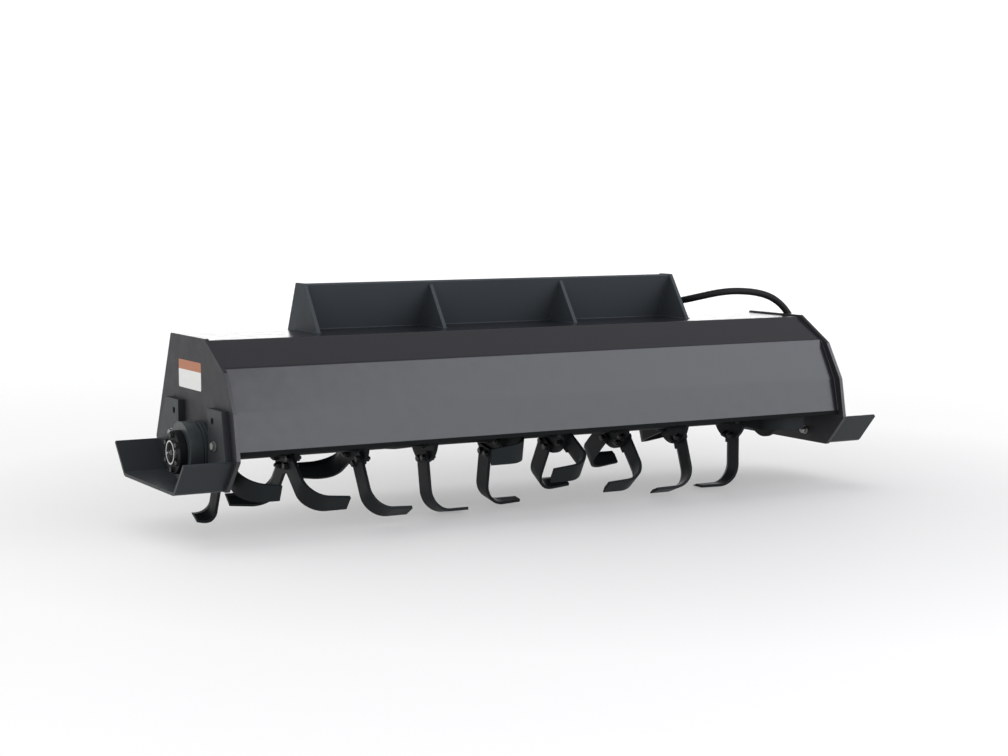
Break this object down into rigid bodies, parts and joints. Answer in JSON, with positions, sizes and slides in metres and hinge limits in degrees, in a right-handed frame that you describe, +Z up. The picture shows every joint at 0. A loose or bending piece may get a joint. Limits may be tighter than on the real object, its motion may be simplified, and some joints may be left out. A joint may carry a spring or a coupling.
{
  "type": "rotary tiller attachment",
  "caption": "Rotary tiller attachment with a bent steel hood, side skids, a bent-tine rotor on one free hinge, a hydraulic motor with hose, and a sloping quick-attach mount plate.",
  "frame": {"origin": "centre of the mount plate's rear face", "axes": "+X to the right seen from the tiller's front, along the rotor; +Y to the machine that carries it; +Z up"},
  "size_m": [2.078, 0.6324, 0.6059],
  "materials": {
    "hood_paint": "satin dark grey powder coat",
    "lip_paint": "satin black paint",
    "mount_paint": "satin dark grey powder coat",
    "skid_paint": "satin dark grey powder coat",
    "bearing_paint": "satin dark grey paint",
    "ring_steel": "bare turned steel",
    "motor_iron": "painted casting",
    "fitting_steel": "zinc plated",
    "bracket_paint": "satin dark grey powder coat",
    "hose_rubber": "black rubber cover",
    "rotor_paint": "satin black paint",
    "shaft_steel": "ground steel",
    "tine_paint": "satin black paint"
  },
  "bodies": {
    "frame": {"end_plate_left": "hood_paint", "end_plate_right": "hood_paint", "hood_skin": "hood_paint", "rear_panel_left": "hood_paint", "rear_panel_right": "hood_paint", "front_lip": "lip_paint", "mount_plate": "mount_paint", "mount_ear_left": "mount_paint", "mount_ear_right": "mount_paint", "mount_gusset_left": "mount_paint", "mount_gusset_right": "mount_paint", "skid_shoe_left": "skid_paint", "skid_shoe_right": "skid_paint", "skid_uprights_left": "skid_paint", "skid_uprights_right": "skid_paint", "bearing_housing": "bearing_paint", "bearing_cap": "bearing_paint", "bearing_nut": "ring_steel", "motor_flange": "motor_iron", "motor_body": "motor_iron", "motor_cover": "motor_iron", "hose_fitting": "fitting_steel", "port_plug": "fitting_steel", "hose_coupler": "fitting_steel", "coupler_bracket": "bracket_paint", "hose": "hose_rubber"},
    "rotor": {"rotor_tube": "rotor_paint", "rotor_stub_left": "shaft_steel", "rotor_stub_right": "shaft_steel", "tine_set_01": "tine_paint", "tine_set_02": "tine_paint", "tine_set_03": "tine_paint", "tine_set_04": "tine_paint", "tine_set_05": "tine_paint", "tine_set_06": "tine_paint", "tine_set_07": "tine_paint", "tine_set_08": "tine_paint", "tine_set_09": "tine_paint", "tine_set_10": "tine_paint"}
  },
  "joints": [
    {"name": "rotor_spin", "type": "hinge", "parent": "frame", "child": "rotor", "pos_m": [0, -0.23768, -0.18795], "axis": [1, 0, 0], "continuous": true}
  ]
}
